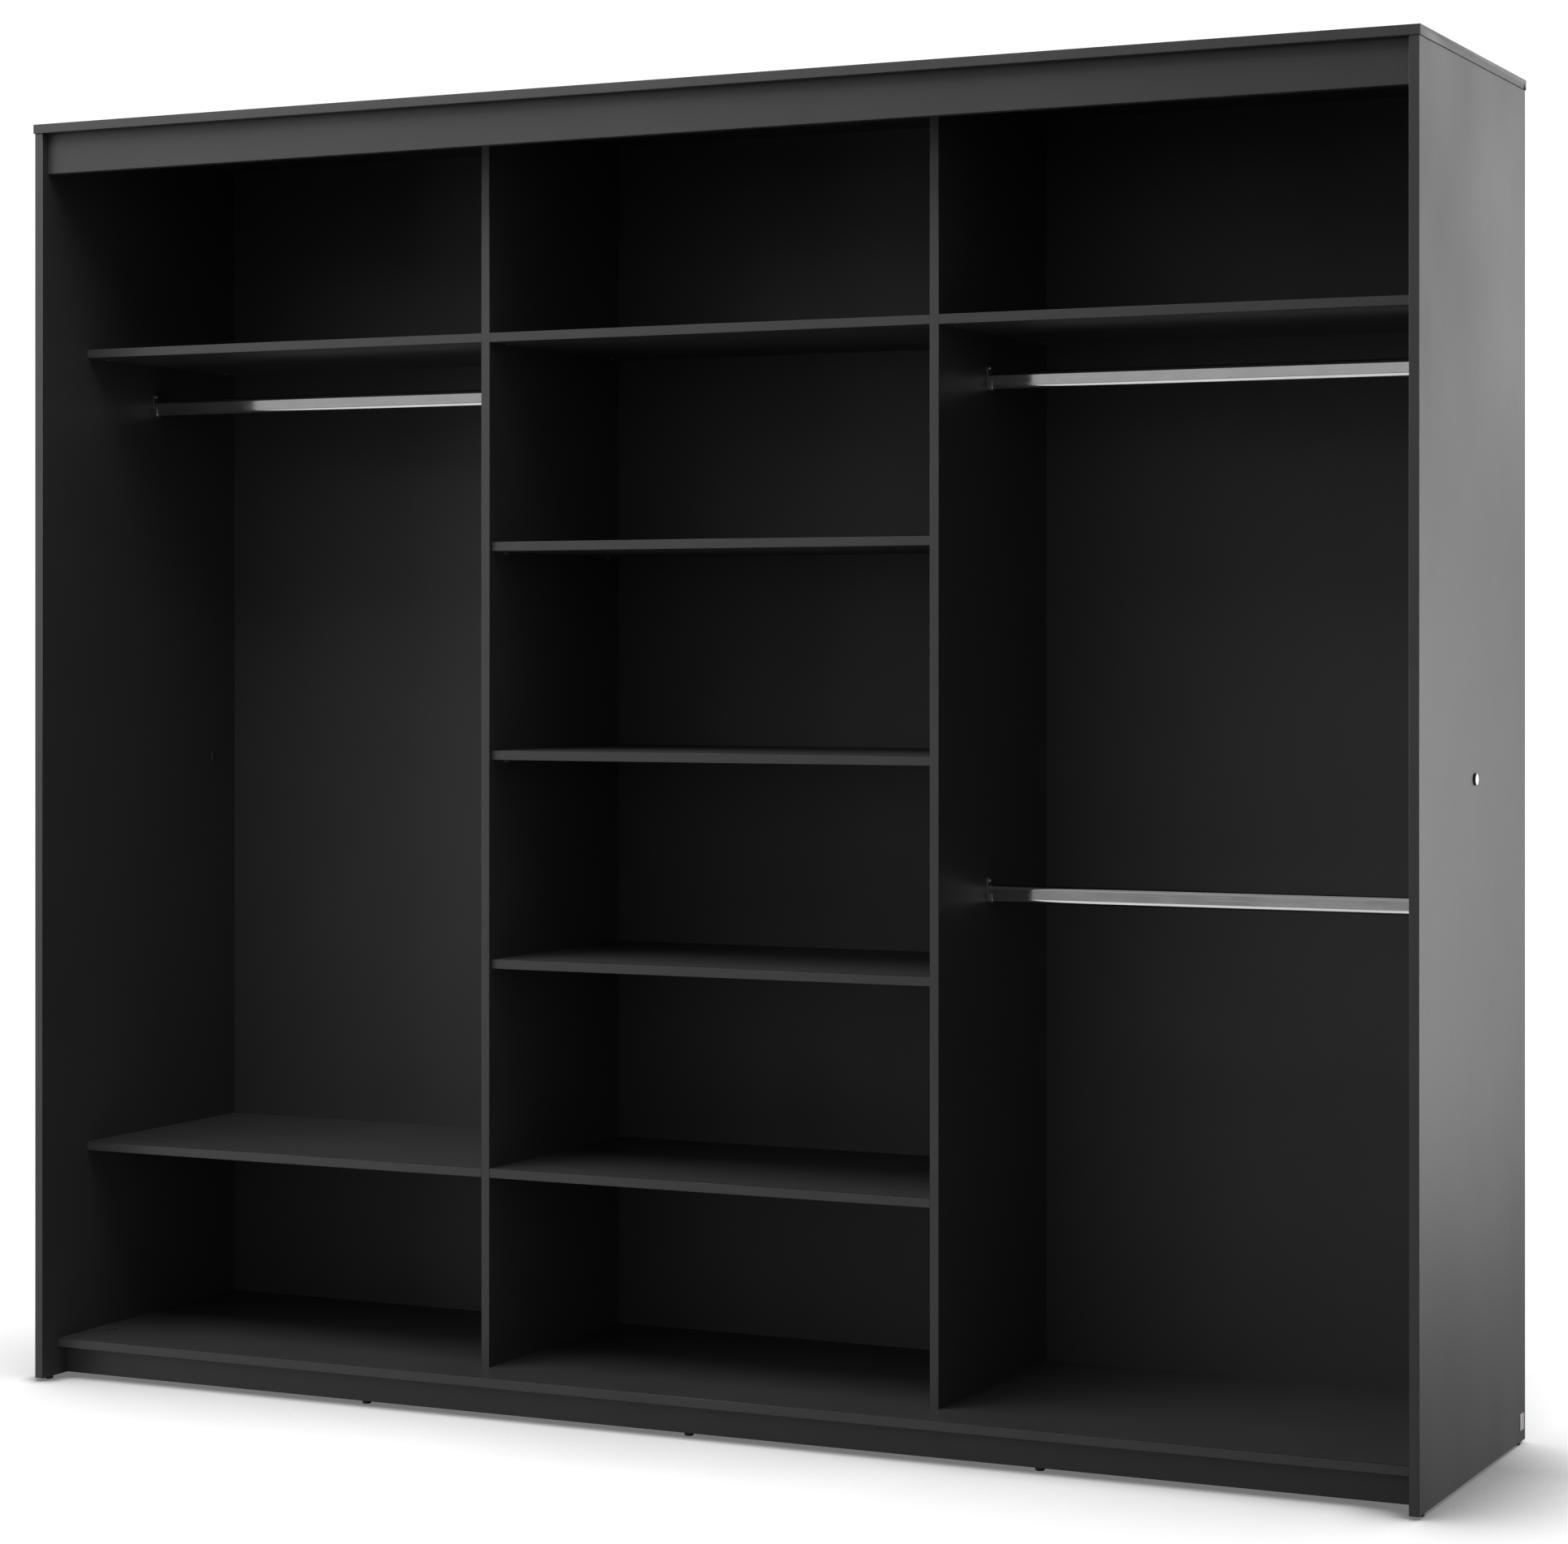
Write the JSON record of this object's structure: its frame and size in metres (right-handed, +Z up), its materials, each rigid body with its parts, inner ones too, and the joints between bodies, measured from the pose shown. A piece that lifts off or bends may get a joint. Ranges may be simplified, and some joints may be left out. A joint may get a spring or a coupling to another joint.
{
  "type": "sliding door wardrobe",
  "caption": "Wide wardrobe carcass for sliding doors, shown open: fascia, plinth, fixed and loose shelves, and oval garment rails between upright dividers.",
  "frame": {"origin": "on the floor, at the middle of the overall box in width and depth", "axes": "+X to the wardrobe's right as seen from the front, +Y towards its back, +Z up; the open front faces -Y"},
  "size_m": [2.504, 0.62, 2.208],
  "materials": {
    "graphite_board": "matte",
    "back_sheet": "matte",
    "chrome_tube": "polished",
    "zinc_fitting": "satin",
    "track_aluminium": "satin",
    "black_plastic": "matte",
    "tag_metal": "satin"
  },
  "bodies": {
    "carcass": {"left_side_panel": "graphite_board", "right_side_panel": "graphite_board", "top_panel": "graphite_board", "base_panel": "graphite_board", "left_divider": "graphite_board", "right_divider": "graphite_board", "top_fascia": "graphite_board", "plinth_front": "graphite_board", "plinth_rear": "graphite_board", "base_bearer_left": "graphite_board", "base_bearer_centre": "graphite_board", "base_bearer_right": "graphite_board", "left_top_shelf": "graphite_board", "left_bottom_shelf": "graphite_board", "centre_top_shelf": "graphite_board", "centre_bottom_shelf": "graphite_board", "right_top_shelf": "graphite_board", "back_panel_left": "back_sheet", "back_panel_centre": "back_sheet", "back_panel_right": "back_sheet", "back_joint_strip_left": "black_plastic", "back_joint_strip_right": "black_plastic", "garment_rail_left": "chrome_tube", "garment_rail_right_upper": "chrome_tube", "garment_rail_right_lower": "chrome_tube", "rail_support_left_a": "zinc_fitting", "rail_support_left_b": "zinc_fitting", "rail_support_right_upper_a": "zinc_fitting", "rail_support_right_upper_b": "zinc_fitting", "rail_support_right_lower_a": "zinc_fitting", "rail_support_right_lower_b": "zinc_fitting", "shelf_pin_upper_left_front": "zinc_fitting", "shelf_pin_upper_left_rear": "zinc_fitting", "shelf_pin_upper_right_front": "zinc_fitting", "shelf_pin_upper_right_rear": "zinc_fitting", "shelf_pin_middle_left_front": "zinc_fitting", "shelf_pin_middle_left_rear": "zinc_fitting", "shelf_pin_middle_right_front": "zinc_fitting", "shelf_pin_middle_right_rear": "zinc_fitting", "shelf_pin_lower_left_front": "zinc_fitting", "shelf_pin_lower_left_rear": "zinc_fitting", "shelf_pin_lower_right_front": "zinc_fitting", "shelf_pin_lower_right_rear": "zinc_fitting", "door_top_track": "track_aluminium", "side_glide_left_front": "black_plastic", "side_glide_left_rear": "black_plastic", "side_glide_right_front": "black_plastic", "side_glide_right_rear": "black_plastic", "plinth_glide_front_left": "black_plastic", "plinth_glide_front_centre": "black_plastic", "plinth_glide_front_right": "black_plastic", "plinth_glide_rear_left": "black_plastic", "plinth_glide_rear_centre": "black_plastic", "plinth_glide_rear_right": "black_plastic", "side_cap_left": "black_plastic", "side_cap_right": "black_plastic", "side_tag_plate": "tag_metal"},
    "upper_shelf": {"loose_shelf_upper": "graphite_board"},
    "middle_shelf": {"loose_shelf_middle": "graphite_board"},
    "lower_shelf": {"loose_shelf_lower": "graphite_board"}
  },
  "joints": [
    {"name": "upper_shelf_draw", "type": "slide", "parent": "carcass", "child": "upper_shelf", "axis": [0, -1, 0], "range_m": [0, 0.61]},
    {"name": "middle_shelf_draw", "type": "slide", "parent": "carcass", "child": "middle_shelf", "axis": [0, -1, 0], "range_m": [0, 0.61]},
    {"name": "lower_shelf_draw", "type": "slide", "parent": "carcass", "child": "lower_shelf", "axis": [0, -1, 0], "range_m": [0, 0.61]}
  ]
}
